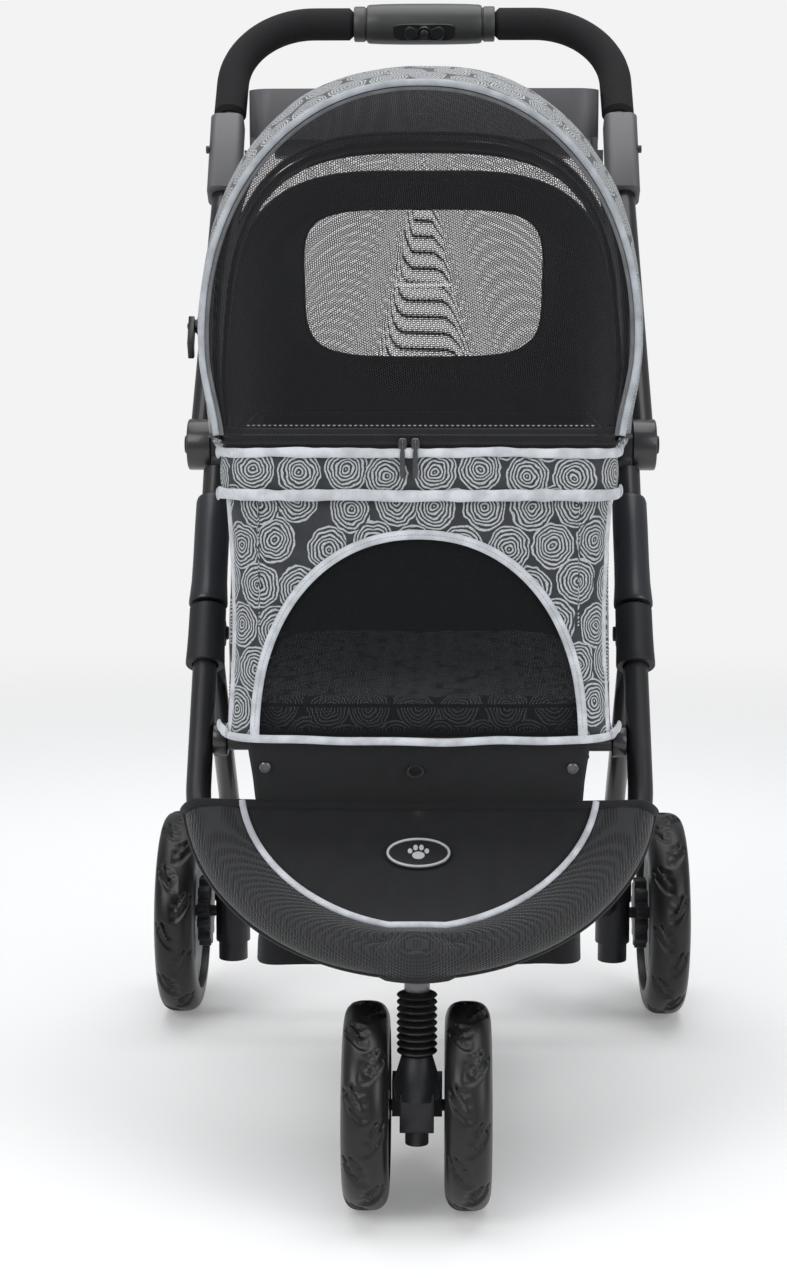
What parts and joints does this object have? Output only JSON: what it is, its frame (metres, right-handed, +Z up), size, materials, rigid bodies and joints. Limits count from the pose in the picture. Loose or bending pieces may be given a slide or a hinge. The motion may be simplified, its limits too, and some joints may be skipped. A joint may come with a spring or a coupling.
{
  "type": "pet stroller",
  "caption": "Folding pet stroller with a net-fronted fabric cabin, bow canopy, swivel twin front wheels, sprung rear axle, tray and basket.",
  "frame": {"origin": "centre of the footprint box on the floor", "axes": "+Z up, +X to the stroller's left-to-right width, -Y forward to the swivel caster"},
  "size_m": [0.576, 0.79, 1.1018],
  "materials": {
    "frame_tube": "satin black powder coat",
    "black_plastic": "fine-textured black moulding",
    "grey_plastic": "satin dark grey moulding",
    "pale_plastic": "light grey moulding",
    "foam": "closed-cell black foam",
    "tyre": "black treaded rubber",
    "printed_fabric": "charcoal woven polyester with pale hand-drawn rings",
    "black_fabric": "black woven polyester",
    "net": "fine black mesh",
    "steel": "plated steel",
    "board": "black panel board"
  },
  "bodies": {
    "chassis": {"front_tube_left": "frame_tube", "front_tube_right": "frame_tube", "nose_bracket": "black_plastic", "hinge_housing_left": "black_plastic", "hinge_housing_right": "black_plastic", "leg_bracket_left": "black_plastic", "leg_bracket_right": "black_plastic", "front_cross_tube": "frame_tube", "canopy_pivot_left": "black_plastic", "canopy_pivot_right": "black_plastic", "canopy_skin_back": "printed_fabric", "cabin_shell": "printed_fabric", "cushion": "printed_fabric", "floor_board": "board", "basket": "black_fabric", "apron": "black_fabric"},
    "lock_sleeve_left": {"lock_sleeve_left": "black_plastic"},
    "lock_sleeve_right": {"lock_sleeve_right": "black_plastic"},
    "caster": {"caster_stem": "steel"},
    "front_fork": {"front_fork": "black_plastic", "caster_bellows": "black_plastic"},
    "front_wheel_left": {"front_tyre_left": "tyre", "front_rim_left": "pale_plastic"},
    "front_wheel_right": {"front_tyre_right": "tyre", "front_rim_right": "pale_plastic"},
    "rear_legs": {"rear_leg_left": "frame_tube", "rear_leg_right": "frame_tube", "rear_cross_tube": "frame_tube"},
    "rear_axle": {"axle_housing_left": "black_plastic", "axle_housing_right": "black_plastic", "rear_axle": "steel"},
    "rear_wheel_left": {"rear_tyre_left": "tyre", "rear_rim_left": "pale_plastic", "brake_ring_left": "black_plastic"},
    "rear_wheel_right": {"rear_tyre_right": "tyre", "rear_rim_right": "pale_plastic", "brake_ring_right": "black_plastic"},
    "brake_pedal": {"brake_pedal": "black_plastic"},
    "handle": {"handle_tube_left": "frame_tube", "handle_tube_right": "frame_tube", "foam_grip_left": "foam", "foam_grip_right": "foam", "handle_pod": "grey_plastic", "tray_clamp_left": "grey_plastic", "tray_clamp_right": "grey_plastic", "parent_tray": "grey_plastic", "latch_base": "black_plastic"},
    "fold_trigger": {"fold_trigger": "black_plastic"},
    "safety_button": {"safety_button": "grey_plastic"},
    "clamp_button_left": {"clamp_button_left": "black_plastic"},
    "clamp_button_right": {"clamp_button_right": "black_plastic"},
    "latch_hook": {"latch_hook": "black_plastic"},
    "bow_rear": {"canopy_bow_rear": "black_plastic", "canopy_skin_rear": "printed_fabric"},
    "bow_mid": {"canopy_bow_mid": "black_plastic", "canopy_skin_front": "printed_fabric"},
    "bow_front": {"canopy_bow_front": "black_plastic", "front_net": "net"},
    "zip_slider_left": {"zip_slider_left": "grey_plastic"},
    "zip_slider_right": {"zip_slider_right": "grey_plastic"}
  },
  "joints": [
    {"name": "handle_fold", "type": "hinge", "parent": "chassis", "child": "handle", "pos_m": [0, 0.044, 0.64], "axis": [1, 0, 0], "range_deg": [0, 150]},
    {"name": "rear_leg_fold", "type": "hinge", "parent": "chassis", "child": "rear_legs", "pos_m": [0, -0.038, 0.464], "axis": [-1, 0, 0], "range_deg": [0, 55]},
    {"name": "canopy_rear", "type": "hinge", "parent": "chassis", "child": "bow_rear", "pos_m": [0, -0.076, 0.65], "axis": [-1, 0, 0], "range_deg": [0, 26], "deforming": ["canopy_skin_rear", "canopy_skin_back"]},
    {"name": "canopy_mid", "type": "hinge", "parent": "bow_rear", "child": "bow_mid", "pos_m": [0, -0.076, 0.65], "axis": [-1, 0, 0], "range_deg": [0, 19], "deforming": ["canopy_skin_front"]},
    {"name": "canopy_front", "type": "hinge", "parent": "bow_mid", "child": "bow_front", "pos_m": [0, -0.076, 0.65], "axis": [-1, 0, 0], "range_deg": [0, 23], "deforming": ["front_net"]},
    {"name": "caster_swivel", "type": "hinge", "parent": "chassis", "child": "caster", "pos_m": [0, -0.334, 0.225], "axis": [0, 0, 1], "continuous": true},
    {"name": "front_suspension", "type": "slide", "parent": "caster", "child": "front_fork", "axis": [0, 0, 1], "range_m": [0, 0.012], "stiffness_N_per_m": 8000, "springref_m": -0.012, "deforming": ["caster_bellows"]},
    {"name": "rear_suspension", "type": "slide", "parent": "rear_legs", "child": "rear_axle", "axis": [0, -0.6739, 0.7388], "range_m": [0, 0.015], "stiffness_N_per_m": 12000, "springref_m": -0.012},
    {"name": "brake_press", "type": "hinge", "parent": "rear_axle", "child": "brake_pedal", "pos_m": [0.154, 0.284, 0.111], "axis": [-1, 0, 0], "range_deg": [0, 25]},
    {"name": "lock_sleeve_left_slide", "type": "slide", "parent": "chassis", "child": "lock_sleeve_left", "axis": [0, 0.5592, 0.829], "range_m": [0, 0.014]},
    {"name": "lock_sleeve_right_slide", "type": "slide", "parent": "chassis", "child": "lock_sleeve_right", "axis": [0, 0.5592, 0.829], "range_m": [0, 0.014]},
    {"name": "fold_trigger_press", "type": "slide", "parent": "handle", "child": "fold_trigger", "axis": [0, 0.8572, 0.515], "range_m": [0, 0.004], "stiffness_N_per_m": 800, "springref_m": -0.002},
    {"name": "safety_button_press", "type": "slide", "parent": "handle", "child": "safety_button", "axis": [0, 0.8572, 0.515], "range_m": [0, 0.003], "stiffness_N_per_m": 500, "springref_m": -0.002},
    {"name": "clamp_button_left_press", "type": "slide", "parent": "handle", "child": "clamp_button_left", "axis": [1, 0, 0], "range_m": [0, 0.002], "stiffness_N_per_m": 500, "springref_m": -0.002},
    {"name": "clamp_button_right_press", "type": "slide", "parent": "handle", "child": "clamp_button_right", "axis": [-1, 0, 0], "range_m": [0, 0.002], "stiffness_N_per_m": 500, "springref_m": -0.002},
    {"name": "latch_hook_turn", "type": "hinge", "parent": "handle", "child": "latch_hook", "pos_m": [-0.23195, 0.12173, 0.75524], "axis": [1, 0, 0], "range_deg": [0, 70]},
    {"name": "zip_left", "type": "slide", "parent": "chassis", "child": "zip_slider_left", "axis": [-1, 0, 0], "range_m": [0, 0.12]},
    {"name": "zip_right", "type": "slide", "parent": "chassis", "child": "zip_slider_right", "axis": [1, 0, 0], "range_m": [0, 0.12]},
    {"name": "front_wheel_left_roll", "type": "hinge", "parent": "front_fork", "child": "front_wheel_left", "pos_m": [-0.0435, -0.306, 0.089], "axis": [1, 0, 0], "continuous": true},
    {"name": "rear_wheel_left_roll", "type": "hinge", "parent": "rear_axle", "child": "rear_wheel_left", "pos_m": [-0.266, 0.284, 0.111], "axis": [1, 0, 0], "continuous": true},
    {"name": "front_wheel_right_roll", "type": "hinge", "parent": "front_fork", "child": "front_wheel_right", "pos_m": [0.0435, -0.306, 0.089], "axis": [1, 0, 0], "continuous": true},
    {"name": "rear_wheel_right_roll", "type": "hinge", "parent": "rear_axle", "child": "rear_wheel_right", "pos_m": [0.266, 0.284, 0.111], "axis": [1, 0, 0], "continuous": true}
  ],
  "couplings": [
    {"joint": "rear_leg_fold", "follows": "handle_fold", "ratio": 0.366},
    {"joint": "canopy_mid", "follows": "canopy_rear", "ratio": 0.73038},
    {"joint": "canopy_front", "follows": "canopy_rear", "ratio": 0.88385}
  ]
}
